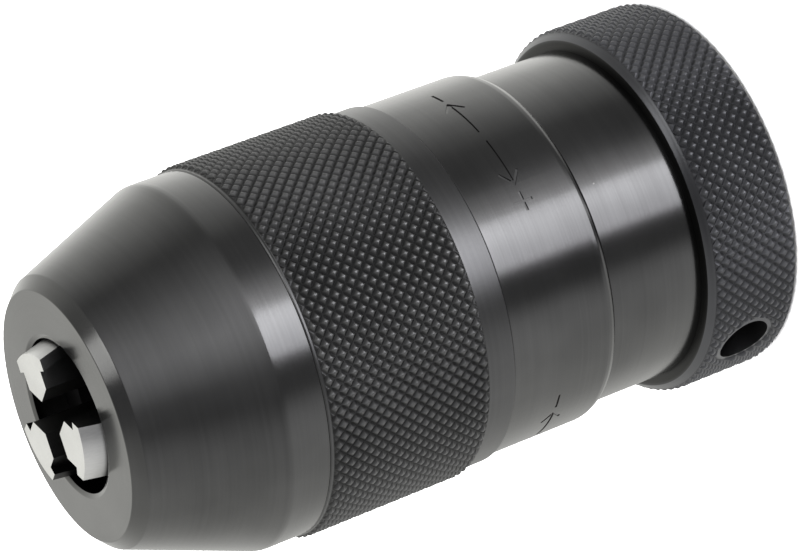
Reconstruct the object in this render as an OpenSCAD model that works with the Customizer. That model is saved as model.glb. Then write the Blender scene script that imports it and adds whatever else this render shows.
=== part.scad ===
// Keyless drill chuck, self-tightening, three jaws.
// The axis is Z. The flat rear face lies on z = 0 and the nose points along +Z.
// The mouth of the spindle thread is centred on the origin.

/* [Outside diameters] */
// Holding ring, over the knurl
ring_d = 50; // [49:0.5:52]
// Plain rear cylinder of the body
rear_d = 44.8; // [44:0.2:45.4]
// Marking section of the body
marking_d = 47.4; // [46.8:0.2:48]
// Clamping sleeve, over the knurl
sleeve_d = 49.4; // [48.8:0.2:51]
// Smooth band of the nose hood
nose_band_d = 48.3; // [47.8:0.1:48.8]
// Flat nose face, at the end of the taper
nose_face_d = 32.8; // [30:0.2:36]

/* [Lengths from the rear face] */
// Holding ring
ring_len = 13.5; // [13:0.1:14.5]
// Rear edge of the marking section
marking_z = 27.4; // [24:0.2:32]
// Seam between the body and the clamping sleeve
seam_z = 42.9; // [42.7:0.1:43]
// Rear edge of the sleeve's knurl
knurl_z = 47.3; // [46.5:0.1:50]
// Start of the nose taper
taper_z = 75.3; // [74:0.1:78]
// Flat nose face
nose_z = 93.1; // [92.6:0.1:93.4]

/* [Grip] */
// Diameter between the jaw tips, as drawn
grip_d = 5.54; // [3:0.1:8]
// Travel of the jaws along the axis for one turn of the sleeve
feed_lead = 4; // [3:0.5:5]
// Distance from the nose face to the jaw faces, as drawn
jaw_proud = 2.4; // [2.3:0.1:2.7]

/* [Spindle mount] */
// Bore of the spindle thread, at the crests
mount_bore_d = 11.5; // [8:0.1:12.7]
// Depth of the spindle thread
mount_depth = 15.5; // [12:0.5:15.5]
// Bar hole in the holding ring
bar_hole_d = 7.2; // [5:0.1:7.4]

/* [Hidden] */
$fn = 96;

// Small gaps and edges
eps = 0.01;
edge = 0.5;
fine_edge = 0.2;
seam_gap = 0.15;
joint_gap = 0.05;
slide_gap = 0.1;
track_relief = 0.3;
thread_gap = 0.08;
spin_gap = 0.07;

// Holding ring and the hub it is pressed on
hub_r = 17;
ring_web = 5;
ring_r = ring_d / 2;
ring_bevel = 0.55;
ring_edge = 0.65;
ring_edge_len = 0.75;
bar_hole_z = 6.6;
bar_hole_deg = -55.4;
bar_hole_depth = 7;

// Body neck, which carries the sleeve, the bearing and the nut
rear_r = rear_d / 2;
marking_r = marking_d / 2;
marking_edge = 0.5;
marking_edge_len = 1;
neck_r = 18;
neck_top = 52.3;
cup_r = 13;
cup_z = 46.9;
feed_r = 8;
feed_floor = 16.5;
mount_r = mount_bore_d / 2;
mouth_edge = 0.85;

// Engraved turning arrows on the marking section: a minus to loosen and a plus to tighten
mark_sets = 3;
mark_start = 44;
mark_z = 35.6;
mark_w = 0.36;
mark_depth = 0.15;
shaft_deg = 17;
shaft_gap = 4;
barb_len = 2.4;
barb_deg = 38;
sign_len = 2.6;
sign_deg = 6;

// Thrust bearing between the sleeve's rear flange and the nut
sleeve_z = seam_z + seam_gap;
flange_z = 45.3;
bore_r = 22;
race_t = 0.8;
ball_r = 1.2;
ball_count = 28;
ball_path_r = 19.7;
ball_z = 47.2;
track_r = ball_r + 0.05;
race_gap = 1.1;
fixed_race_z = ball_z + race_gap;
turning_race_z = ball_z - race_gap - race_t;
cage_t = 1.2;
cage_hole_r = ball_r - 0.03;
shim_t = 0.2;
nut_z = fixed_race_z + race_t + shim_t;
nut_r = 21;
nut_slots = 4;
lock_screw_r = 0.8;
seal_z = 43.9;
seal_t = 0.8;
seal_depth = 0.8;

// Sleeve and hood
sleeve_r = sleeve_d / 2;
knurl_step = 0.6;
band_r = sleeve_r - knurl_step;
hood_joint_z = 69.95;
sleeve_end = hood_joint_z - joint_gap;
hood_r = nose_band_d / 2;
nose_r = nose_face_d / 2;
nose_bevel = 1.5;
mouth_r = 10;
mouth_bevel = 0.7;
mouth_drop = 0.25;
hood_foot_z = 57;
collar_r = 20.4;
collar_top = 66;

// Jaw guide inside the hood
collar_foot = 60;
guide_front = 88;
guide_step = 77;
guide_back_r = 11.9;
guide_front_r = 6.9;
pin_r = 1;
pin_z = 63;
pin_start = 17.8;
snap_z = 58.6;
snap_t = 1.2;
snap_in = 19.7;
snap_out = 21.2;
snap_opening = 16;

// Jaw tracks, which slope towards the axis by this angle in degrees
jaw_slope = 15;

// Jaw section. Heights are measured square to the jaw track, half widths across the jaw.
jaw_z = nose_z + jaw_proud;
tip_r = grip_d / 2;
jaw_back_r = 9;
jaw_top = 8.7;
jaw_ledge = 6.4;
jaw_floor = -2;
neck_w = 2.77;
wing_w = 3.87;
jaw_foot_z = 68.4;
jaw_reach = 60;
jaw_spread = 120;
vee_deg = 60;

// Hooks that hold the jaws in the head of the feed spindle
hook_in = 5.5;
hook_out = 8.5;
hook_stem_w = 1.9;
hook_foot_w = 3;
hook_z = 63.2;
hook_t = 2.4;
slot_in = 3.1;
slot_gap = 0.15;
head_r = 11.6;
head_z = 61.2;
head_top = 68.2;
screw_foot = 31;
thread_depth = 0.9;
thread_relief = 6;
stop_r = 2.8;
stop_t = 1.4;

// Radius of the conical track surface at a height
function track_at(z) = mouth_r + (nose_z - z) * tan(jaw_slope);

// Ring of revolution between two radii and two heights
module tube(inner, outer, low, high) {
    translate([0, 0, low])
        difference() {
            cylinder(r = outer, h = high - low);
            translate([0, 0, -eps])
                cylinder(r = inner, h = high - low + 2 * eps);
        }
}

// Radial bar from one radius to another, at a height
module radial_bar(angle, height, bar_r, from, to) {
    rotate([0, 0, angle])
        translate([from, 0, height])
            rotate([0, 90, 0])
                cylinder(r = bar_r, h = to - from);
}

// Turns a jaw drawn along +X to its place
module at_jaw(index) {
    rotate([0, 0, 90 + jaw_spread * index])
        children();
}

// Neck and wings of a jaw's section, with a gap around them, out to a height above the track's axis
module tee_section(gap, out) {
    translate([jaw_floor - gap, -neck_w - gap])
        square([out - jaw_floor + gap, 2 * (neck_w + gap)]);
    translate([jaw_ledge - gap, -wing_w - gap])
        square([out - jaw_ledge + gap, 2 * (wing_w + gap)]);
}

// Straight prism of a section, along a jaw track
module along_track() {
    translate([0, 0, jaw_z])
        rotate([0, -jaw_slope, 0])
            translate([0, 0, -jaw_reach])
                linear_extrude(2 * jaw_reach)
                    children();
}

// Track of one jaw through the guide, open to the hood's conical track surface
module guide_track() {
    low = collar_foot - 1;
    high = guide_front + 1;
    intersection() {
        along_track()
            tee_section(slide_gap, 2 * jaw_top);
        translate([0, 0, low])
            cylinder(r1 = track_at(low) + track_relief, r2 = track_at(high) + track_relief, h = high - low);
    }
}

// Half space outside a vertical vee with its edge at the tip radius
module vee_wedge() {
    far = 40;
    translate([0, 0, jaw_foot_z])
        linear_extrude(jaw_z - jaw_foot_z)
            polygon([[tip_r, 0], [tip_r + far, -far * tan(vee_deg)], [tip_r + far, far * tan(vee_deg)]]);
}

// Hook under a jaw, or the slot that takes it
module jaw_hook(from, to, gap, top) {
    translate([from, -hook_foot_w - gap, hook_z - gap])
        cube([to - from, 2 * (hook_foot_w + gap), hook_t + 2 * gap]);
    translate([from, -hook_stem_w - gap, hook_z])
        cube([to - from, 2 * (hook_stem_w + gap), top - hook_z]);
}

module jaw(index) {
    color("lightgray")
        at_jaw(index) {
            intersection() {
                along_track()
                    intersection() {
                        tee_section(0, jaw_top);
                        translate([jaw_top - jaw_back_r, 0])
                            circle(r = jaw_back_r);
                    }
                vee_wedge();
            }
            jaw_hook(hook_in, hook_out, 0, jaw_foot_z + eps);
        }
}

module jaw_1() {
    jaw(0);
}

module jaw_2() {
    jaw(1);
}

module jaw_3() {
    jaw(2);
}

module bar_hole() {
    radial_bar(bar_hole_deg, bar_hole_z, bar_hole_d / 2, ring_r - bar_hole_depth, ring_r + 1);
}

// Straight engraved line on the marking section, tilted out of the direction round the axis
module mark_bar(angle, length, tilt, offset = 0) {
    rotate([0, 0, angle])
        translate([marking_r - mark_depth, 0, mark_z])
            rotate([tilt, 0, 0])
                translate([0, offset - length / 2, -mark_w / 2])
                    cube([mark_depth + 1, length, mark_w]);
}

// Arrow round the axis from an angle, to the left (1) or to the right (-1)
module mark_arrow(angle, way) {
    tip = angle + way * shaft_deg;
    rotate([0, 0, way > 0 ? angle : tip])
        rotate_extrude(angle = shaft_deg)
            translate([marking_r - mark_depth, mark_z - mark_w / 2])
                square([mark_depth + 1, mark_w]);
    for (side = [-1, 1])
        mark_bar(tip, barb_len, side * barb_deg, -way * (barb_len / 2 - mark_w / 2));
}

module marks() {
    for (turn = [0 : mark_sets - 1])
        rotate([0, 0, mark_start + turn * 360 / mark_sets]) {
            mark_arrow(shaft_gap / 2, 1);
            mark_arrow(-shaft_gap / 2, -1);
            mark_bar(shaft_gap / 2 + shaft_deg + sign_deg, sign_len, 0);
            mark_bar(-shaft_gap / 2 - shaft_deg - sign_deg, sign_len, 0);
            mark_bar(-shaft_gap / 2 - shaft_deg - sign_deg, sign_len, 90);
        }
}

module body() {
    color("dimgray")
        difference() {
            rotate_extrude()
                polygon([
                    [0, 0], [hub_r, 0], [hub_r, ring_web], [rear_r, ring_web],
                    [rear_r, marking_z], [marking_r - marking_edge, marking_z],
                    [marking_r, marking_z + marking_edge_len], [marking_r, seam_z - fine_edge],
                    [marking_r - fine_edge, seam_z], [neck_r, seam_z], [neck_r, neck_top], [0, neck_top]
                ]);
            translate([0, 0, -eps])
                cylinder(r = mount_r, h = mount_depth + eps);
            translate([0, 0, -eps])
                cylinder(r1 = mount_r + mouth_edge + eps, r2 = mount_r, h = mouth_edge + eps);
            translate([0, 0, feed_floor])
                cylinder(r = feed_r + thread_gap, h = neck_top);
            translate([0, 0, cup_z])
                cylinder(r = cup_r, h = neck_top);
            tube(neck_r - seal_depth, neck_r + 1, seal_z, seal_z + seal_t);
            nut_lock_screw_blank();
            bar_hole();
            marks();
        }
}

module hold_ring() {
    color("dimgray")
        difference() {
            rotate_extrude()
                polygon([
                    [hub_r, 0], [ring_r - edge, 0], [ring_r, edge],
                    [ring_r, ring_len - ring_bevel - ring_edge_len],
                    [ring_r - ring_edge, ring_len - ring_bevel],
                    [ring_r - ring_edge - ring_bevel, ring_len], [rear_r, ring_len],
                    [rear_r, ring_web], [hub_r, ring_web]
                ]);
            bar_hole();
        }
}

module nut_lock_screw_blank() {
    rotate([0, 0, 30])
        translate([neck_r, 0, nut_z + 0.6])
            cylinder(r = lock_screw_r, h = neck_top - nut_z - 0.6 + eps);
}

module nut_lock_screw() {
    color("gray")
        difference() {
            rotate([0, 0, 30])
                translate([neck_r, 0, nut_z + 0.6])
                    cylinder(r = lock_screw_r, h = neck_top - nut_z - 0.6);
            rotate([0, 0, 30])
                translate([neck_r, 0, neck_top - 1])
                    cylinder(r = lock_screw_r / 2, h = 2, $fn = 6);
        }
}

module thrust_nut() {
    slot_w = 3;
    slot_t = 1.2;
    color("gray")
        difference() {
            tube(neck_r, nut_r, nut_z, neck_top);
            nut_lock_screw_blank();
            for (turn = [0 : nut_slots - 1])
                rotate([0, 0, turn * 360 / nut_slots])
                    translate([neck_r + 1, -slot_w / 2, neck_top - slot_t])
                        cube([nut_r, slot_w, 2 * slot_t]);
        }
}

module bearing_shim() {
    color("silver")
        tube(neck_r, nut_r, nut_z - shim_t, nut_z);
}

// Groove that the balls run in
module ball_track() {
    translate([0, 0, ball_z])
        rotate_extrude()
            translate([ball_path_r, 0])
                circle(r = track_r, $fn = 48);
}

module bearing_race_fixed() {
    color("silver")
        difference() {
            tube(neck_r, nut_r, fixed_race_z, fixed_race_z + race_t);
            ball_track();
        }
}

module bearing_race_turning() {
    color("silver")
        difference() {
            tube(neck_r + 0.3, nut_r + 0.3, turning_race_z, turning_race_z + race_t);
            ball_track();
        }
}

module at_balls() {
    for (turn = [0 : ball_count - 1])
        rotate([0, 0, turn * 360 / ball_count])
            translate([ball_path_r, 0, ball_z])
                children();
}

module ball_cage() {
    color("goldenrod")
        difference() {
            tube(neck_r + 0.5, nut_r, ball_z - cage_t / 2, ball_z + cage_t / 2);
            at_balls()
                cylinder(r = cage_hole_r, h = 2 * cage_t, center = true, $fn = 32);
        }
}

module bearing_balls() {
    color("silver")
        at_balls()
            sphere(r = ball_r, $fn = 32);
}

module dust_seal() {
    color("black")
        tube(neck_r - seal_depth, neck_r + spin_gap / 2, seal_z, seal_z + seal_t);
}

module clamping_sleeve() {
    color("dimgray")
        rotate_extrude()
            polygon([
                [neck_r + spin_gap, sleeve_z], [band_r - fine_edge, sleeve_z],
                [band_r, sleeve_z + fine_edge], [band_r, knurl_z - knurl_step], [sleeve_r, knurl_z],
                [sleeve_r, sleeve_end - edge], [sleeve_r - edge, sleeve_end], [bore_r, sleeve_end],
                [bore_r, flange_z], [neck_r + spin_gap, flange_z]
            ]);
}

// Closed ring section swept all round, used for the snap ring and its groove
module snap_blank(inner) {
    tube(inner, snap_out, snap_z, snap_z + snap_t);
}

module hood_pin_holes() {
    for (turn = [0 : 2])
        radial_bar(30 + jaw_spread * turn, pin_z, pin_r, pin_start, bore_r + 1);
}

module nose_hood() {
    color("dimgray")
        difference() {
            rotate_extrude()
                polygon([
                    [collar_r, hood_foot_z], [bore_r, hood_foot_z], [bore_r, hood_joint_z],
                    [hood_r, hood_joint_z], [hood_r, taper_z],
                    [nose_r + nose_bevel, nose_z - nose_bevel], [nose_r, nose_z],
                    [mouth_r + mouth_bevel, nose_z], [track_at(nose_z - mouth_drop), nose_z - mouth_drop],
                    [track_at(collar_top), collar_top], [collar_r, collar_top]
                ]);
            snap_blank(snap_in);
            hood_pin_holes();
        }
}

module jaw_guide() {
    color("gray")
        difference() {
            rotate_extrude()
                polygon([
                    [guide_back_r, collar_foot], [collar_r, collar_foot], [collar_r, collar_top],
                    [track_at(collar_top), collar_top], [track_at(guide_front), guide_front],
                    [guide_front_r, guide_front], [guide_front_r, guide_step], [guide_back_r, guide_step]
                ]);
            for (index = [0 : 2])
                at_jaw(index)
                    guide_track();
            hood_pin_holes();
        }
}

module guide_pins() {
    color("silver")
        for (turn = [0 : 2])
            radial_bar(30 + jaw_spread * turn, pin_z, pin_r, pin_start, bore_r - eps);
}

module guide_snap_ring() {
    color("gray")
        difference() {
            snap_blank(snap_in);
            rotate([0, 0, 30 - snap_opening / 2])
                rotate_extrude(angle = snap_opening)
                    translate([snap_in - 1, snap_z - 1])
                        square([snap_out - snap_in + 2, snap_t + 2]);
        }
}

module feed_spindle() {
    color("gray")
        difference() {
            union() {
                translate([0, 0, screw_foot])
                    cylinder(r = feed_r, h = head_z - screw_foot);
                translate([0, 0, head_z])
                    cylinder(r = head_r, h = head_top - head_z);
            }
            for (groove = [screw_foot + feed_lead / 2 : feed_lead : head_z - thread_relief])
                tube(feed_r - thread_depth, feed_r + 1, groove, groove + feed_lead / 2);
            for (index = [0 : 2])
                at_jaw(index)
                    jaw_hook(slot_in, head_r + 1, slot_gap, head_top + 1);
            translate([0, 0, head_top - stop_t])
                cylinder(r = stop_r, h = stop_t + 1);
        }
}

module drill_stop() {
    color("silver")
        translate([0, 0, head_top - stop_t])
            cylinder(r = stop_r, h = stop_t);
}

body();
hold_ring();
thrust_nut();
nut_lock_screw();
bearing_shim();
bearing_race_fixed();
ball_cage();
bearing_balls();
bearing_race_turning();
dust_seal();
clamping_sleeve();
nose_hood();
jaw_guide();
guide_pins();
guide_snap_ring();
jaw_1();
jaw_2();
jaw_3();
feed_spindle();
drill_stop();
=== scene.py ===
"""Keyless drill chuck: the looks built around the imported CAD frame.

The chuck stands on its rear face, with its axis along +Z. Detailed meshes stand in for the body, the
holding ring, the clamping sleeve and the nose hood. The other CAD nodes keep their shape and get materials.
Sizes and outlines are in millimetres, an outline being a list of (radius, height). Meshes are in metres.
"""
import math

import bmesh
import bpy
from mathutils import Matrix, Vector


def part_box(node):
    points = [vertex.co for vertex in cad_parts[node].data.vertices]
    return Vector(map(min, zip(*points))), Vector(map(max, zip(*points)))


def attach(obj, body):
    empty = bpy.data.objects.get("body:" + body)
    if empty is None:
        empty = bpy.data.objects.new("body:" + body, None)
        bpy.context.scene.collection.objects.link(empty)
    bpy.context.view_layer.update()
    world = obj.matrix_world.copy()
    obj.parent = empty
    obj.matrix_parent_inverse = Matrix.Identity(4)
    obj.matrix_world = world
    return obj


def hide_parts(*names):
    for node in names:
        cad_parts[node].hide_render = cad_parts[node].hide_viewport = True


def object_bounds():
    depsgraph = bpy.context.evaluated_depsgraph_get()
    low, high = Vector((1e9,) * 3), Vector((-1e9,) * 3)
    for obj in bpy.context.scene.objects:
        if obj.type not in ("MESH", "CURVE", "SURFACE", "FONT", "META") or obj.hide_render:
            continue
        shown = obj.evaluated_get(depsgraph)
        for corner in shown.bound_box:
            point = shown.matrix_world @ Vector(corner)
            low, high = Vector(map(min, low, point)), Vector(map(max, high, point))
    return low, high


MM = 0.001

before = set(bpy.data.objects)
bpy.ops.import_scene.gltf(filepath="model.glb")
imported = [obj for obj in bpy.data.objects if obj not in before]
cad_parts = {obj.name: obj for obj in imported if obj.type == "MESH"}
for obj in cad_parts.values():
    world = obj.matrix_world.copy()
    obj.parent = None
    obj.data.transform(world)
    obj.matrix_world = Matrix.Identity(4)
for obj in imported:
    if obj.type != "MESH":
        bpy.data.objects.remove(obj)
cad_low, cad_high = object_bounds()


def top_mm(node):
    """Highest point of a CAD node, in millimetres."""
    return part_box(node)[1].z / MM


def foot_mm(node):
    """Lowest point of a CAD node, in millimetres."""
    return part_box(node)[0].z / MM


def radius_mm(node):
    """Smallest reach of a round CAD node from the axis, so that its stand-in stays inside its box."""
    low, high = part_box(node)
    return min(-low.x, -low.y, high.x, high.y) / MM


# ---------------------------------------------------------------- sizes, millimetres

# Holding ring, pressed on the body's rear
RING_R = radius_mm("hold_ring")
RING_LEN = top_mm("hold_ring")
RING_BEVEL = 0.55
RING_LIP_R = RING_R - 1.22
RING_KNURL_END = RING_LEN - 0.75
RING_WEB = 5.0
HUB_R = 17.0

# Body: rear cylinder, marking section, neck, and the bores from both ends
REAR_R = 22.4
MARKING_R = radius_mm("body")
MARKING_Z = 27.4
SEAM_Z = 42.9
NECK_R = 18.0
NECK_TOP = top_mm("body")
SEAL_Z = 43.9
SEAL_GROOVE = 0.8
CUP_R = 13.0
CUP_Z = 46.9
FEED_BORE_R = 8.08
FEED_FLOOR = 16.5
MOUNT_R = 5.75
MOUNT_DEPTH = 15.5
MOUNT_BEVEL = 0.85

# Clamping sleeve
SLEEVE_R = radius_mm("clamping_sleeve")
SLEEVE_Z = foot_mm("clamping_sleeve")
SLEEVE_END = top_mm("clamping_sleeve")
SLEEVE_CHAMFER = 0.45
BAND_R = SLEEVE_R - 0.6
KNURL_Z = 47.0
FLANGE_Z = 45.3
FLANGE_R = NECK_R + 0.07
SLEEVE_BORE_R = 22.0

# Nose hood, with a collar inside the sleeve and a conical mouth
HOOD_R = radius_mm("nose_hood")
HOOD_FOOT = foot_mm("nose_hood")
HOOD_JOINT = 69.95
TAPER_Z = 75.3
NOSE_Z = top_mm("nose_hood")
NOSE_R = 16.4
NOSE_BEVEL = 1.5
COLLAR_R = 20.4
COLLAR_TOP = 66.0
MOUTH_R = 10.0
MOUTH_BEVEL = 0.7
MOUTH_DROP = 0.25
TRACK_SLOPE = math.tan(math.radians(15))

# Radial hole for a tommy bar, through the ring into the body. Its rim lies a little under the knurl's
# root, and its cutter flares by (radius, height) so that it leaves through the knurl.
BAR_HOLE_R = 3.6
BAR_HOLE_Z = 6.6
BAR_HOLE_DEG = -55.4
BAR_HOLE_DEPTH = 7.0
BAR_RIM_W = 0.55
BAR_RIM_SINK = 0.03
BAR_RIM_FLARE = (1.3, 1.5)

# Engraved turning arrows on the marking section, each with a minus or a plus past its tip
MARK_SETS = 3
MARK_START = 44.0
MARK_Z = 35.6
MARK_W = 0.36
MARK_DEPTH = 0.15
SHAFT_DEG = 17.0
SHAFT_GAP = 4.0
BARB_LEN = 2.4
BARB_DEG = 38.0
SIGN_LEN = 2.6
SIGN_DEG = 6.0
SHAFT_STEPS = 24
CUTTER_OUT = 1.0

KNURL_PITCH = 1.766
KNURL_DEPTH = 0.42
KNURL_BEVEL = 0.3
# Squares inside one diamond cell: (distance from its grooves, height), as shares of the cell and the depth
CELL_SQUARES = ((0.0, 0.0), (0.09, 0.15), (0.19, 0.47), (0.29, 0.78), (0.38, 0.95), (0.45, 1.0))

EDGE_ROUND = 0.1
JAW_EDGE = 0.2
# Gap that keeps the ring's mesh from lying exactly on the body's where it is pressed on
SEAT = 0.005
TURNED_SEGMENTS = 288
HOLE_SEGMENTS = 96
SHARP_DEG = 32.0


# ---------------------------------------------------------------- mesh helpers

def circle(count):
    """Evenly spaced angles round the axis."""
    return [2 * math.pi * i / count for i in range(count)]


def rounded(outline, radius):
    """The closed outline with its corners rounded by short curves, but for those on the axis.

    A curve takes at most 0.4 of an edge, and one under 0.02 mm is left sharp.
    """
    points = [Vector(p) for p in outline]
    result = []
    for i, corner in enumerate(points):
        before = points[i - 1] - corner
        after = points[(i + 1) % len(points)] - corner
        on_axis = corner.x < 1e-6
        cut = min(radius, 0.4 * before.length, 0.4 * after.length)
        if on_axis or cut < 0.02:
            result.append(corner)
            continue
        start = corner + before.normalized() * cut
        end = corner + after.normalized() * cut
        for t in (0.0, 0.33, 0.67, 1.0):
            result.append(start * (1 - t) ** 2 + corner * 2 * t * (1 - t) + end * t * t)
    return [(p.x, p.y) for p in result]


def shade(bm):
    """Smooth faces, with sharp edges above an angle."""
    limit = math.radians(SHARP_DEG)
    for face in bm.faces:
        face.smooth = True
    for e in bm.edges:
        e.smooth = e.is_manifold and e.calc_face_angle(0.0) < limit


def finish_mesh(bm, name):
    """Cleans and shades a bmesh and turns it into an object."""
    bmesh.ops.remove_doubles(bm, verts=bm.verts, dist=1e-7)
    bmesh.ops.dissolve_degenerate(bm, edges=bm.edges, dist=1e-8)
    bmesh.ops.recalc_face_normals(bm, faces=bm.faces)
    shade(bm)
    mesh = bpy.data.meshes.new(name)
    bm.to_mesh(mesh)
    bm.free()
    piece = bpy.data.objects.new(name, mesh)
    bpy.context.scene.collection.objects.link(piece)
    return piece


def around(radius, angle, height):
    """A place in metres, from a radius and a height in millimetres."""
    return radius * MM * math.cos(angle), radius * MM * math.sin(angle), height * MM


def add_rings(bm, outline, angles):
    """Adds one ring of vertices per outline point, at the given angles."""
    rings = []
    for radius, height in outline:
        rings.append([bm.verts.new(around(radius, a, height)) for a in angles])
    return rings


def join_rings(bm, first, second):
    """Quads between two rings of the same length."""
    count = len(first)
    for i in range(count):
        j = (i + 1) % count
        bm.faces.new((first[i], first[j], second[j], second[i]))


def turned(name, outline):
    """A solid of revolution from a closed outline, with its corners rounded."""
    bm = bmesh.new()
    rings = add_rings(bm, rounded(outline, EDGE_ROUND), circle(TURNED_SEGMENTS))
    for i, ring in enumerate(rings):
        join_rings(bm, ring, rings[(i + 1) % len(rings)])
    return finish_mesh(bm, name)


# ---------------------------------------------------------------- knurl

def knurled(name, tip_r, low, high, rest):
    """A turned solid whose outer face is a diamond knurl between two heights.

    Each diamond is a stack of ever smaller squares. The knurl runs out to its root at both heights,
    cut at 45 degrees. rest is the open outline that leads from its upper edge round to its lower edge.
    """
    count = round(2 * math.pi * tip_r / KNURL_PITCH)
    middle = (low + high) / 2
    reach = int((high - low) / KNURL_PITCH) + 2
    root_r = tip_r - KNURL_DEPTH
    bm = bmesh.new()
    made = {}

    def vertex(a, b, share):
        """The vertex at a and b, which count cells along the two sets of grooves."""
        turns = math.floor((a + b) / 2 / count)
        a -= turns * count
        b -= turns * count
        key = (round(a * 1000), round(b * 1000))
        if key not in made:
            angle = math.pi * (a + b) / count
            height = middle + (a - b) / 2 * KNURL_PITCH
            radius = root_r + KNURL_DEPTH * share
            radius = min(radius, root_r + high - height, root_r + height - low)
            made[key] = bm.verts.new(around(radius, angle, height))
        return made[key]

    for across in range(count):
        for along in range(-reach, reach + 1):
            squares = []
            for inset, share in CELL_SQUARES:
                a0, a1 = across + along + inset, across + along + 1 - inset
                b0, b1 = across + inset, across + 1 - inset
                squares.append([vertex(a, b, share) for a, b in ((a0, b0), (a1, b0), (a1, b1), (a0, b1))])
            for outer, inner in zip(squares, squares[1:]):
                join_rings(bm, outer, inner)
            bm.faces.new(squares[-1])

    # trim the knurl at both heights, make its two edges true circles and close the solid with rest
    for height, side in ((high, 1), (low, -1)):
        everything = bm.verts[:] + bm.edges[:] + bm.faces[:]
        bmesh.ops.bisect_plane(bm, geom=everything, dist=1e-8, plane_co=(0, 0, height * MM),
                               plane_no=(0, 0, side), clear_outer=True)
    loops = []
    for height in (high, low):
        rim = [v for v in bm.verts if abs(v.co.z - height * MM) < 1e-7 and v.is_boundary]
        for v in rim:
            flat = Vector((v.co.x, v.co.y, 0)).normalized() * root_r * MM
            v.co = Vector((flat.x, flat.y, height * MM))
        loops.append(sorted(rim, key=lambda v: math.atan2(v.co.y, v.co.x)))
    angles = [math.atan2(v.co.y, v.co.x) for v in loops[0]]
    rings = [loops[0]] + add_rings(bm, rest, angles) + [loops[1]]
    for first, second in zip(rings, rings[1:]):
        join_rings(bm, first, second)
    return finish_mesh(bm, name)


# ---------------------------------------------------------------- cutting

def hole_cutter():
    """A radial round bar where the bar hole goes, with a smooth rim that cuts the knurl to its root.

    Its material slots are the bore's and the rim's, and the cut takes them over. The bore's darker, rougher
    inner steel is painted shade in the hole.
    """
    bm = bmesh.new()
    root_r = RING_R - KNURL_DEPTH - BAR_RIM_SINK
    rim_r = BAR_HOLE_R + BAR_RIM_W
    flare_r, flare_out = BAR_RIM_FLARE
    outline = [
        (BAR_HOLE_R, RING_R - BAR_HOLE_DEPTH), (BAR_HOLE_R, root_r), (rim_r, root_r),
        (rim_r + flare_r, root_r + flare_out),
    ]
    rings = add_rings(bm, outline, circle(HOLE_SEGMENTS))
    for ring in rings[1:]:
        for v in ring:
            sagitta = root_r * MM - math.sqrt((root_r * MM) ** 2 - v.co.y ** 2)
            v.co.z -= sagitta
    join_rings(bm, rings[0], rings[1])
    bm.faces.new(rings[0])
    bore = set(bm.faces)
    join_rings(bm, rings[1], rings[2])
    join_rings(bm, rings[2], rings[3])
    bm.faces.new(rings[3])
    for face in bm.faces:
        face.material_index = 0 if face in bore else 1
    piece = finish_mesh(bm, "hole_cutter")
    turn = Matrix.Rotation(math.radians(BAR_HOLE_DEG), 4, "Z") @ Matrix.Rotation(math.radians(90), 4, "Y")
    piece.data.transform(Matrix.Translation((0, 0, BAR_HOLE_Z * MM)) @ turn)
    piece.data.materials.append(OXIDE_INNER)
    piece.data.materials.append(OXIDE_RING)
    return piece


def bar_cutter(angle_deg, length, tilt_deg, offset=0.0):
    """A straight bar across the marking section's surface, tilted out of the direction round the axis."""
    bm = bmesh.new()
    bmesh.ops.create_cube(bm, size=1.0)
    piece = finish_mesh(bm, "mark_cutter")
    size = Matrix.Diagonal((MARK_DEPTH + CUTTER_OUT, length, MARK_W, 1))
    middle = Matrix.Translation((MARKING_R + (CUTTER_OUT - MARK_DEPTH) / 2, 0, MARK_Z))
    tilt = Matrix.Rotation(math.radians(tilt_deg), 4, "X") @ Matrix.Translation((0, offset, 0))
    turn = Matrix.Rotation(math.radians(angle_deg), 4, "Z")
    piece.data.transform(Matrix.Scale(MM, 4) @ turn @ middle @ tilt @ size)
    return piece


def shaft_cutter(start_deg, end_deg):
    """A bar bent round the axis between two angles."""
    bm = bmesh.new()
    step_deg = (end_deg - start_deg) / SHAFT_STEPS
    angles = [math.radians(start_deg + step_deg * i) for i in range(SHAFT_STEPS + 1)]
    low, high = MARK_Z - MARK_W / 2, MARK_Z + MARK_W / 2
    inner, outer = MARKING_R - MARK_DEPTH, MARKING_R + CUTTER_OUT
    rows = add_rings(bm, [(inner, low), (outer, low), (outer, high), (inner, high)], angles)
    for first, second in zip(rows, rows[1:] + rows[:1]):
        for i in range(SHAFT_STEPS):
            bm.faces.new((first[i], first[i + 1], second[i + 1], second[i]))
    for end in (0, SHAFT_STEPS):
        bm.faces.new([row[end] for row in rows])
    return finish_mesh(bm, "shaft_cutter")


def mark_cutters():
    """All the arrows, pluses and minuses of the marking section.

    Each set is a pair of arrows that point away from each other round the axis, with a minus past each
    tip. A second bar, along the axis, makes one minus of each set a plus.
    """
    cutters = []
    for turn in range(MARK_SETS):
        middle = MARK_START + turn * 360 / MARK_SETS
        for way in (1, -1):
            start = middle + way * SHAFT_GAP / 2
            tip = start + way * SHAFT_DEG
            cutters.append(shaft_cutter(min(start, tip), max(start, tip)))
            for side in (1, -1):
                cutters.append(bar_cutter(tip, BARB_LEN, side * BARB_DEG, -way * (BARB_LEN - MARK_W) / 2))
            cutters.append(bar_cutter(tip + way * SIGN_DEG, SIGN_LEN, 0))
        cutters.append(bar_cutter(middle - SHAFT_GAP / 2 - SHAFT_DEG - SIGN_DEG, SIGN_LEN, 90))
    return cutters


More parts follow.
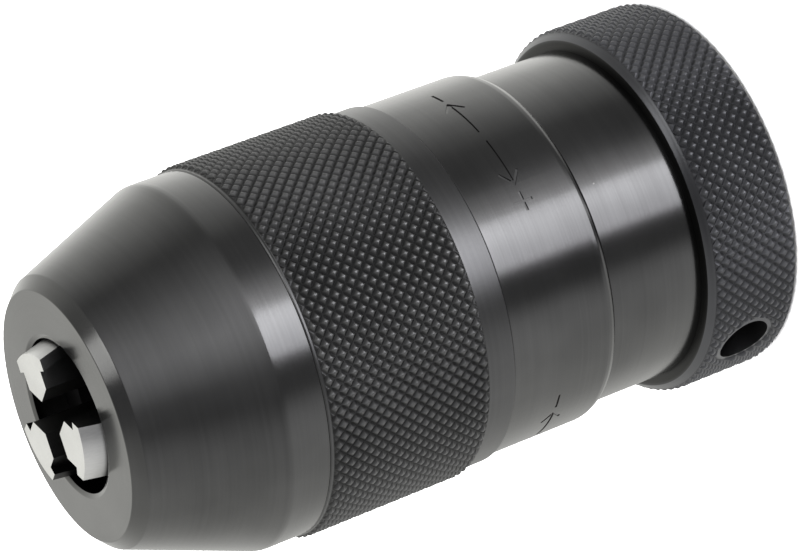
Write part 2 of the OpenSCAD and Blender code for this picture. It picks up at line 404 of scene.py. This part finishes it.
def cut(piece, cutters):
    """Subtracts each cutter from the piece and deletes it."""
    for cutter in cutters:
        modifier = piece.modifiers.new("cut", "BOOLEAN")
        modifier.operation = "DIFFERENCE"
        modifier.solver = "EXACT"
        modifier.material_mode = "TRANSFER"
        modifier.object = cutter
        bpy.context.view_layer.update()
        graph = bpy.context.evaluated_depsgraph_get()
        mesh = bpy.data.meshes.new_from_object(piece.evaluated_get(graph))
        piece.modifiers.clear()
        piece.data = mesh
        bpy.data.objects.remove(cutter)
    bm = bmesh.new()
    bm.from_mesh(piece.data)
    shade(bm)
    bm.to_mesh(piece.data)
    bm.free()


# ---------------------------------------------------------------- materials

# Turning lines: share of the height in their spacing, and how fast they fade round the axis, to the metre
LINE_LEAN = 0.83
LINE_FADE = 25.0
# Specks: cells to the metre, size as a share of a cell, share of cells without one, colour
SPECK_CELLS = 420.0
SPECK_SIZE = 0.045
SPECK_RARE = 0.985
SPECK_COLOUR = (0.6, 0.58, 0.55)
# Painted shade on a knurled piece's faces that look along the axis: their dark colour and their roughness
FRONT_SHADE_COLOUR = (0.022, 0.022, 0.021)
FRONT_ROUGH = 0.45


class Nodes:
    """A short way to write a node tree."""

    def __init__(self, tree):
        self.tree = tree

    def add(self, kind, inputs=None, **settings):
        """Adds a node. inputs maps a socket's name or number to a value or to another node's socket."""
        made = self.tree.nodes.new(kind)
        for key, value in settings.items():
            setattr(made, key, value)
        for key, value in (inputs or {}).items():
            if isinstance(value, bpy.types.NodeSocket):
                self.tree.links.new(value, made.inputs[key])
            else:
                made.inputs[key].default_value = value
        return made

    def math(self, operation, first, second=0.0):
        """One sum on two values."""
        return self.add("ShaderNodeMath", {0: first, 1: second}, operation=operation).outputs[0]

    def place(self):
        """Where a point is on the object, in metres."""
        return self.add("ShaderNodeTexCoord").outputs["Object"]

    def normal(self):
        """Which way a point's face looks on the object."""
        return self.add("ShaderNodeTexCoord").outputs["Normal"]

    def split(self, vector):
        """The x, y and z of a vector."""
        return self.add("ShaderNodeSeparateXYZ", {0: vector}).outputs

    def ramp(self, value, stops):
        """Colours at places from 0 to 1."""
        made = self.add("ShaderNodeValToRGB", {0: value})
        elements = made.color_ramp.elements
        for i, (position, colour) in enumerate(stops):
            element = elements[i] if i < 2 else elements.new(position)
            element.position = position
            element.color = (*colour, 1)
        return made.outputs[0]

    def mix(self, share, first, second):
        """Mixes two colours. Each is a socket or three numbers."""
        made = self.add("ShaderNodeMix", {0: share}, data_type="RGBA")
        for socket, colour in ((made.inputs[6], first), (made.inputs[7], second)):
            if isinstance(colour, bpy.types.NodeSocket):
                self.tree.links.new(colour, socket)
            else:
                socket.default_value = (*colour, 1)
        return made.outputs[2]

    def span(self, value, low, high, start=0.0, end=1.0):
        """Maps start..end to low..high."""
        return self.add("ShaderNodeMapRange", {0: value, 1: start, 2: end, 3: low, 4: high}).outputs[0]

    def noise(self, vector, scale, detail=3.0, roughness=0.5):
        """Soft noise from 0 to 1. On a place in metres, scale is in features to the metre."""
        return self.add("ShaderNodeTexNoise", {"Vector": vector, "Scale": scale, "Detail": detail,
                                               "Roughness": roughness}).outputs[0]

    def bump(self, height, strength, distance, normal=None):
        """A normal that follows a height, on top of another normal."""
        inputs = {"Height": height, "Strength": strength, "Distance": distance}
        if normal is not None:
            inputs["Normal"] = normal
        return self.add("ShaderNodeBump", inputs).outputs[0]


class Material(Nodes):
    """A node material around one Principled shader."""

    def __init__(self, name, metallic=1.0):
        self.material = bpy.data.materials.new(name)
        self.material.use_nodes = True
        super().__init__(self.material.node_tree)
        self.shader = self.tree.nodes["Principled BSDF"]
        self.shader.inputs["Metallic"].default_value = metallic

    def link(self, value, socket):
        """Drives a socket of the shader."""
        self.tree.links.new(value, self.shader.inputs[socket])


def distance_from_axis(n, place):
    """How far a place is from the chuck's axis."""
    x, y, _ = n.split(place)
    flat = n.add("ShaderNodeCombineXYZ", {0: x, 1: y}).outputs[0]
    return n.add("ShaderNodeVectorMath", {0: flat}, operation="LENGTH").outputs["Value"]


def turning_lines(n, place, fine, detail=4.0):
    """Noise that changes fast along and away from the chuck's axis and slowly around it."""
    x, y, z = n.split(place)
    step = n.math("ADD", distance_from_axis(n, place), n.math("MULTIPLY", z, LINE_LEAN))
    stretched = n.add("ShaderNodeCombineXYZ", {
        0: n.math("MULTIPLY", step, fine),
        1: n.math("MULTIPLY", x, LINE_FADE),
        2: n.math("MULTIPLY", y, LINE_FADE),
    })
    return n.noise(stretched.outputs[0], 1.0, detail, 0.6)


def light_specks(n, place, base, strength):
    """Rare tiny light specks over a colour."""
    cells = n.add("ShaderNodeTexVoronoi", {"Vector": place, "Scale": SPECK_CELLS, "Randomness": 1.0})
    dots = n.math("LESS_THAN", cells.outputs["Distance"], SPECK_SIZE)
    few = n.math("GREATER_THAN", n.split(cells.outputs["Color"])[0], SPECK_RARE)
    return n.mix(n.math("MULTIPLY", n.math("MULTIPLY", dots, few), strength), base, SPECK_COLOUR)


def knurl_finish(n, place, base, dull, tip_r, painted_tip_highlight, painted_groove_shade, extra_dull):
    """A knurled piece's colour and roughness, from those of the plain finish.

    tip_r is the radius over the knurl's tips. The tips get a painted highlight and the grooves painted
    shade: they are the given tip and groove factors times as light as the plain finish, and all of the
    knurl is duller. Faces that look along the axis get painted shade, a dark colour, and are rough.
    """
    foot = (tip_r - 1.2 * KNURL_DEPTH) * MM
    out = n.span(distance_from_axis(n, place), -0.2, 1.0, foot, tip_r * MM)
    on_knurl = n.span(out, 0.0, 1.0, -0.08, 0.0)
    # painted light: the knurl is lighter towards its tips as a painted highlight, and darker towards its
    # grooves as painted shade
    height = n.span(out, painted_groove_shade, painted_tip_highlight, 0.15, 0.75)
    tint = n.add("ShaderNodeVectorMath", {0: base, 3: height}, operation="SCALE").outputs[0]
    base = n.mix(on_knurl, base, tint)
    dull = n.math("ADD", dull, n.math("MULTIPLY", on_knurl, extra_dull))
    # painted shade: faces that look along the axis are made dark
    front = n.span(n.split(n.normal())[2], 0.0, 1.0, 0.9, 0.98)
    base = n.mix(front, base, FRONT_SHADE_COLOUR)
    dull = n.math("MAXIMUM", dull, n.math("MULTIPLY", front, FRONT_ROUGH))
    return base, dull


def black_oxide(name, colour, rough, line_strength, speck, knurl=None):
    """Turned steel with a black oxide finish: fine lines round the axis, slight clouding, rare specks.

    knurl holds what knurl_finish asks for on a knurled piece.
    """
    n = Material(name)
    place = n.place()
    lines = turning_lines(n, place, 5200.0)
    clouds = n.noise(place, 55.0, 3.0, 0.55)
    grain = n.noise(place, 2600.0, 2.0, 0.6)
    tone = n.math("ADD", n.math("MULTIPLY", lines, 0.25), n.math("MULTIPLY", clouds, 0.75))
    base = n.ramp(tone, [(0.3, [c * 0.8 for c in colour]), (0.7, [c * 1.26 for c in colour])])
    uneven = n.math("ADD", n.math("MULTIPLY", clouds, 0.5), n.math("MULTIPLY", grain, 0.5))
    dull = n.span(uneven, rough - 0.05, rough + 0.07)
    if knurl is not None:
        base, dull = knurl_finish(n, place, base, dull, **knurl)
    n.link(light_specks(n, place, base, speck), "Base Color")
    n.link(dull, "Roughness")
    n.link(n.bump(grain, 0.12, 0.00001, n.bump(lines, line_strength, 0.00002)), "Normal")
    return n.material


def grinding(n, place):
    """Short grinding lines along the axis."""
    stretched = n.add("ShaderNodeMapping", {0: place, 3: (4200.0, 4200.0, 260.0)}).outputs[0]
    return n.noise(stretched, 1.0, 3.0, 0.6)


def ground_steel(name, jaw=False):
    """Hardened steel, ground bright, with short grinding lines and a warm tint.

    On a jaw only the end face and the round back are ground, and the flanks get painted shade, a dark colour.
    """
    n = Material(name)
    place = n.place()
    lines = grinding(n, place)
    clouds = n.noise(place, 160.0, 3.0, 0.5)
    tone = n.math("ADD", n.math("MULTIPLY", lines, 0.4), n.math("MULTIPLY", clouds, 0.6))
    base = n.ramp(tone, [(0.3, (0.46, 0.46, 0.45)), (0.7, (0.61, 0.61, 0.595))])
    if jaw:
        x, y, _ = n.split(place)
        across, along, up = n.split(n.normal())
        outward = n.math("ADD", n.math("MULTIPLY", x, across), n.math("MULTIPLY", y, along))
        outward = n.math("DIVIDE", outward, distance_from_axis(n, place))
        back = n.span(outward, 0.0, 1.0, 0.55, 0.75)
        end = n.span(up, 0.0, 1.0, 0.5, 0.8)
        # painted shade: a jaw's flanks, all but its end face and round back, are dark
        base = n.mix(n.math("MAXIMUM", back, end), (0.10, 0.10, 0.098), base)
    n.link(base, "Base Color")
    n.link(n.span(lines, 0.26, 0.42), "Roughness")
    n.link(n.bump(lines, 0.25, 0.00001), "Normal")
    return n.material


def brass(name):
    """Machined brass with turning lines and slight tarnish."""
    n = Material(name)
    place = n.place()
    lines = turning_lines(n, place, 4200.0, 3.0)
    clouds = n.noise(place, 90.0, 4.0, 0.6)
    n.link(n.ramp(clouds, [(0.35, (0.52, 0.37, 0.14)), (0.65, (0.72, 0.56, 0.28))]), "Base Color")
    n.link(n.span(lines, 0.22, 0.4), "Roughness")
    n.link(n.bump(lines, 0.3, 0.00002), "Normal")
    return n.material


def polished_steel(name):
    """Bearing balls: polished steel with a faint haze."""
    n = Material(name)
    haze = n.noise(n.place(), 900.0, 2.0, 0.5)
    n.link(n.ramp(haze, [(0.3, (0.72, 0.72, 0.73)), (0.7, (0.82, 0.82, 0.83))]), "Base Color")
    n.link(n.span(haze, 0.06, 0.14), "Roughness")
    return n.material


def rubber(name):
    """Matt black rubber with a fine grain."""
    n = Material(name, metallic=0.0)
    grain = n.noise(n.place(), 1800.0, 3.0, 0.6)
    n.link(n.ramp(grain, [(0.3, (0.012, 0.012, 0.012)), (0.7, (0.03, 0.03, 0.03))]), "Base Color")
    n.link(n.span(grain, 0.6, 0.8), "Roughness")
    n.link(n.bump(grain, 0.3, 0.00003), "Normal")
    return n.material


def floor_paint(name):
    """Smooth off-white studio surface."""
    n = Material(name, metallic=0.0)
    clouds = n.noise(n.place(), 3.0, 2.0, 0.5)
    n.link(n.ramp(clouds, [(0.3, (0.90, 0.90, 0.90)), (0.7, (0.93, 0.93, 0.93))]), "Base Color")
    n.shader.inputs["Roughness"].default_value = 0.9
    return n.material


OXIDE = black_oxide("black_oxide_turned", (0.087, 0.087, 0.085), rough=0.18, line_strength=0.13, speck=0.12)
# The knurled materials carry painted highlight on the knurl tips, and painted shade in the grooves and on
# faces that look along the axis
OXIDE_SLEEVE = black_oxide(
    "black_oxide_sleeve", (0.087, 0.087, 0.086), rough=0.33, line_strength=0.10, speck=0.5,
    knurl=dict(tip_r=SLEEVE_R, painted_tip_highlight=1.5, painted_groove_shade=0.55, extra_dull=0.14))
OXIDE_RING = black_oxide(
    "black_oxide_ring", (0.084, 0.085, 0.089), rough=0.30, line_strength=0.10, speck=0.3,
    knurl=dict(tip_r=RING_R, painted_tip_highlight=1.35, painted_groove_shade=0.8, extra_dull=0.18))
# Darker, rougher steel for the parts inside the chuck; in the bar hole's bore it is painted shade
OXIDE_INNER = black_oxide(
    "dark_machined_steel", (0.075, 0.075, 0.077), rough=0.42, line_strength=0.35, speck=0.2)
STEEL = ground_steel("ground_steel")
JAW_STEEL = ground_steel("jaw_steel", jaw=True)
BRASS = brass("machined_brass")
BALLS = polished_steel("bearing_steel")
RUBBER = rubber("seal_rubber")


# ---------------------------------------------------------------- pieces

def stand_in(piece, material, body, node):
    """Gives a piece its material and its body, and hides the CAD node that it stands for."""
    piece.data.materials.clear()
    piece.data.materials.append(material)
    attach(piece, body)
    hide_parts(node)


def body_outline():
    mount = [(0, MOUNT_DEPTH), (MOUNT_R, MOUNT_DEPTH), (MOUNT_R, MOUNT_BEVEL), (MOUNT_R + MOUNT_BEVEL, 0)]
    rear = [(HUB_R, 0), (HUB_R, RING_WEB), (REAR_R, RING_WEB), (REAR_R, MARKING_Z)]
    # the marking section, with a bulging chamfer at its rear
    marking = [
        (MARKING_R - 0.5, MARKING_Z), (MARKING_R - 0.29, MARKING_Z + 0.35),
        (MARKING_R - 0.1, MARKING_Z + 0.75), (MARKING_R, MARKING_Z + 1.3),
        (MARKING_R, SEAM_Z - 0.1), (MARKING_R - 0.1, SEAM_Z),
    ]
    groove_r = NECK_R - SEAL_GROOVE
    groove_top = SEAL_Z + SEAL_GROOVE
    neck = [
        (NECK_R, SEAM_Z), (NECK_R, SEAL_Z), (groove_r, SEAL_Z), (groove_r, groove_top), (NECK_R, groove_top),
        (NECK_R, NECK_TOP),
    ]
    front = [
        (CUP_R, NECK_TOP), (CUP_R, CUP_Z), (FEED_BORE_R, CUP_Z), (FEED_BORE_R, FEED_FLOOR), (0, FEED_FLOOR),
    ]
    return mount + rear + marking + neck + front


def flatten(piece):
    """Wide faces keep their own normals, so that only the rounded edges look round."""
    modifier = piece.modifiers.new("normals", "WEIGHTED_NORMAL")
    modifier.mode = "FACE_AREA"
    modifier.weight = 90
    modifier.keep_sharp = True


def make_body():
    piece = turned("chuck_body_steel", body_outline())
    stand_in(piece, OXIDE, "chuck_body", "body")
    cut(piece, [hole_cutter()] + mark_cutters())
    flatten(piece)


def make_ring():
    bevel_r = RING_LIP_R + RING_BEVEL
    bevel_z = RING_LEN - RING_BEVEL
    rest = [
        # the bevel in front of the knurl, with softened corners
        (bevel_r + 0.06, bevel_z - 0.07), (bevel_r - 0.05, bevel_z + 0.05),
        (RING_LIP_R + 0.03, RING_LEN - 0.03), (RING_LIP_R - 0.02, RING_LEN),
        # the front face, the bores over the body and the rear face
        (REAR_R + 2 * SEAT, RING_LEN), (REAR_R + 2 * SEAT, RING_WEB + SEAT), (HUB_R + SEAT, RING_WEB + SEAT),
        (HUB_R + SEAT, 0.0), (RING_R - KNURL_DEPTH - KNURL_BEVEL, 0.0),
    ]
    piece = knurled("holding_ring_knurled", RING_R, KNURL_BEVEL, RING_KNURL_END, rest)
    stand_in(piece, OXIDE_RING, "chuck_body", "hold_ring")
    cut(piece, [hole_cutter()])
    flatten(piece)


def make_sleeve():
    land_r = SLEEVE_R - KNURL_DEPTH - 0.06
    rest = [
        # a narrow smooth land in front of the knurl
        (land_r, SLEEVE_END - 0.38), (land_r, SLEEVE_END - 0.14), (land_r - 0.14, SLEEVE_END),
        # the bore, the flange behind it and the smooth rear band
        (SLEEVE_BORE_R, SLEEVE_END), (SLEEVE_BORE_R, FLANGE_Z), (FLANGE_R, FLANGE_Z), (FLANGE_R, SLEEVE_Z),
        (BAND_R - 0.08, SLEEVE_Z), (BAND_R, SLEEVE_Z + 0.08), (BAND_R, KNURL_Z - 0.05),
    ]
    piece = knurled("clamping_sleeve_knurled", SLEEVE_R, KNURL_Z, SLEEVE_END - SLEEVE_CHAMFER, rest)
    stand_in(piece, OXIDE_SLEEVE, "sleeve_group", "clamping_sleeve")
    flatten(piece)


def make_hood():
    outline = [
        (COLLAR_R, HOOD_FOOT), (SLEEVE_BORE_R, HOOD_FOOT), (SLEEVE_BORE_R, HOOD_JOINT),
        (HOOD_R - 0.04, HOOD_JOINT), (HOOD_R, HOOD_JOINT + 0.05),
        # a softened corner where the taper starts
        (HOOD_R, TAPER_Z - 0.4), (HOOD_R - 0.036, TAPER_Z - 0.007), (HOOD_R - 0.143, TAPER_Z + 0.373),
        (NOSE_R + NOSE_BEVEL, NOSE_Z - NOSE_BEVEL), (NOSE_R, NOSE_Z), (MOUTH_R + MOUTH_BEVEL, NOSE_Z),
        (MOUTH_R + MOUTH_DROP * TRACK_SLOPE, NOSE_Z - MOUTH_DROP),
        (MOUTH_R + (NOSE_Z - COLLAR_TOP) * TRACK_SLOPE, COLLAR_TOP), (COLLAR_R, COLLAR_TOP),
    ]
    piece = turned("nose_hood_turned", outline)
    stand_in(piece, OXIDE, "sleeve_group", "nose_hood")
    flatten(piece)


def dress(node, material):
    """A CAD node keeps its shape and gets its material."""
    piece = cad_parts[node]
    piece.data.materials.clear()
    piece.data.materials.append(material)
    return piece


def soften(piece, width):
    """A small rounded bevel on a piece's sharp edges, in millimetres."""
    bevel = piece.modifiers.new("edges", "BEVEL")
    bevel.width = width * MM
    bevel.segments = 2
    bevel.limit_method = "ANGLE"
    bevel.angle_limit = math.radians(40)
    bevel.harden_normals = True


make_body()
make_ring()
make_sleeve()
make_hood()
for jaw in ("jaw_1", "jaw_2", "jaw_3"):
    soften(dress(jaw, JAW_STEEL), JAW_EDGE)
for node in ("jaw_guide", "feed_spindle", "thrust_nut", "nut_lock_screw", "guide_snap_ring"):
    dress(node, OXIDE_INNER)
for node in ("bearing_shim", "bearing_race_fixed", "bearing_race_turning", "guide_pins", "drill_stop"):
    dress(node, STEEL)
dress("ball_cage", BRASS)
dress("bearing_balls", BALLS)
dress("dust_seal", RUBBER)


# ---------------------------------------------------------------- floor, light and camera

FLOOR_R = 6000.0
FLOOR_SEGMENTS = 64


def make_floor():
    """A wide round floor that the polished faces don't mirror."""
    bm = bmesh.new()
    ring = add_rings(bm, [(FLOOR_R, 0.0)], circle(FLOOR_SEGMENTS))[0]
    bm.faces.new(ring)
    piece = finish_mesh(bm, "floor")
    piece.data.materials.append(floor_paint("studio_floor"))
    piece.visible_glossy = False


def towards(azimuth, elevation):
    """The direction with these two angles, in degrees."""
    turn = math.radians(azimuth)
    up = math.radians(elevation)
    return Vector((math.cos(turn) * math.cos(up), math.sin(turn) * math.cos(up), math.sin(up)))


def area_light(name, azimuth, elevation, distance, width, height, power, glossy=True, colour=(1, 1, 1)):
    """A soft box that faces the middle of the chuck. Angles are in degrees, sizes in metres."""
    light = bpy.data.lights.new(name, "AREA")
    light.shape = "RECTANGLE"
    light.size = width
    light.size_y = height
    light.energy = power
    light.color = colour
    lamp = bpy.data.objects.new(name, light)
    bpy.context.scene.collection.objects.link(lamp)
    away = towards(azimuth, elevation)
    centre = Vector((0, 0, cad_high.z / 2))
    lamp.location = centre + away * distance
    lamp.rotation_euler = away.to_track_quat("Z", "Y").to_euler()
    lamp.visible_camera = False
    lamp.visible_glossy = glossy


# Brightness of the studio walls round the chuck, at three heights: (azimuth in degrees, brightness)
WALLS_LOW = (
    (-180, 0.8), (-160, 0.6), (-130, 1.0), (-90, 1.2), (-50, 1.1), (-38, 0.9), (-26, 0.25), (2, 0.3),
    (18, 2.3), (30, 2.3), (38, 1.3), (48, 0.5), (58, 0.33), (76, 0.32), (100, 0.9), (120, 1.4), (150, 1.6),
    (170, 1.2), (180, 0.8),
)
WALLS_HIGH = (
    (-180, 1.35), (-130, 1.0), (-80, 0.9), (-48, 0.7), (-28, 0.3), (-10, 0.4), (8, 1.2), (20, 1.5), (38, 1.2),
    (60, 0.6), (84, 0.25), (110, 0.7), (140, 1.2), (180, 1.35),
)
WALLS_TOP = ((-180, 1.1), (-90, 0.9), (-30, 0.3), (30, 0.3), (110, 0.4), (180, 1.1))
# Heights of the three, as the sine of the elevation
WALL_HEIGHTS = (-0.42, 0.34, 0.8)
WALL_RANGE = 4.0
# Share by which the walls are bluer on this side and warmer across from it
WALL_TINT = 0.02
WALL_TINT_AZIMUTH = 12.0


def make_world():
    """A white studio whose walls are darker in places, so that the turned faces show a gradient."""
    world = bpy.data.worlds.new("studio")
    bpy.context.scene.world = world
    world.use_nodes = True
    n = Nodes(world.node_tree)
    x, y, z = n.split(n.add("ShaderNodeTexCoord").outputs["Generated"])
    turn = n.span(n.math("ARCTAN2", y, x), 0.0, 1.0, -math.pi, math.pi)
    walls = []
    for stops in (WALLS_LOW, WALLS_HIGH, WALLS_TOP):
        levels = []
        for azimuth, level in stops:
            blue = WALL_TINT * math.cos(math.radians(azimuth - WALL_TINT_AZIMUTH))
            levels.append(((azimuth + 180) / 360, [level / WALL_RANGE * (1 + c * blue) for c in (-1, -1, 1)]))
        walls.append(n.ramp(turn, levels))
    light = n.mix(n.span(z, 0.0, 1.0, WALL_HEIGHTS[0], WALL_HEIGHTS[1]), walls[0], walls[1])
    light = n.mix(n.span(z, 0.0, 1.0, WALL_HEIGHTS[1], WALL_HEIGHTS[2]), light, walls[2])
    background = n.tree.nodes["Background"]
    n.tree.links.new(light, background.inputs["Color"])
    background.inputs["Strength"].default_value = WALL_RANGE


# The camera: its direction from the aim point in degrees, and the aim point and the distance in millimetres
CAMERA_AZIMUTH = 6.779
CAMERA_ELEVATION = 25.554
CAMERA_ROLL = -110.662
CAMERA_DISTANCE = 507.78
CAMERA_AIM = (-0.197, 1.658, 44.064)
LENS_MM = 179.07
SENSOR_MM = 36.0


def make_camera():
    """Looks down at the nose from the side, rolled so that the standing chuck seems to lie."""
    data = bpy.data.cameras.new("camera")
    data.sensor_width = SENSOR_MM
    data.lens = LENS_MM
    data.clip_end = 50.0
    camera = bpy.data.objects.new("camera", data)
    bpy.context.scene.collection.objects.link(camera)
    back = towards(CAMERA_AZIMUTH, CAMERA_ELEVATION)
    place = (Vector(CAMERA_AIM) + back * CAMERA_DISTANCE) * MM
    right = Vector((0, 0, 1)).cross(back).normalized()
    level = Matrix((right, back.cross(right), back)).transposed().to_4x4()
    roll = Matrix.Rotation(math.radians(CAMERA_ROLL), 4, "Z")
    camera.matrix_world = Matrix.Translation(place) @ level @ roll
    bpy.context.scene.camera = camera


make_floor()
make_world()
area_light("key", azimuth=10.3, elevation=-30, distance=0.9, width=0.44, height=0.9, power=5.4,
           colour=(0.93, 0.93, 1.0))
area_light("nose_fill", azimuth=60, elevation=59, distance=0.9, width=0.36, height=0.36, power=1.2)
area_light("floor_fill", azimuth=0, elevation=88, distance=1.5, width=2.0, height=2.0, power=75, glossy=False)
make_camera()
bpy.context.scene.view_settings.view_transform = "Standard"
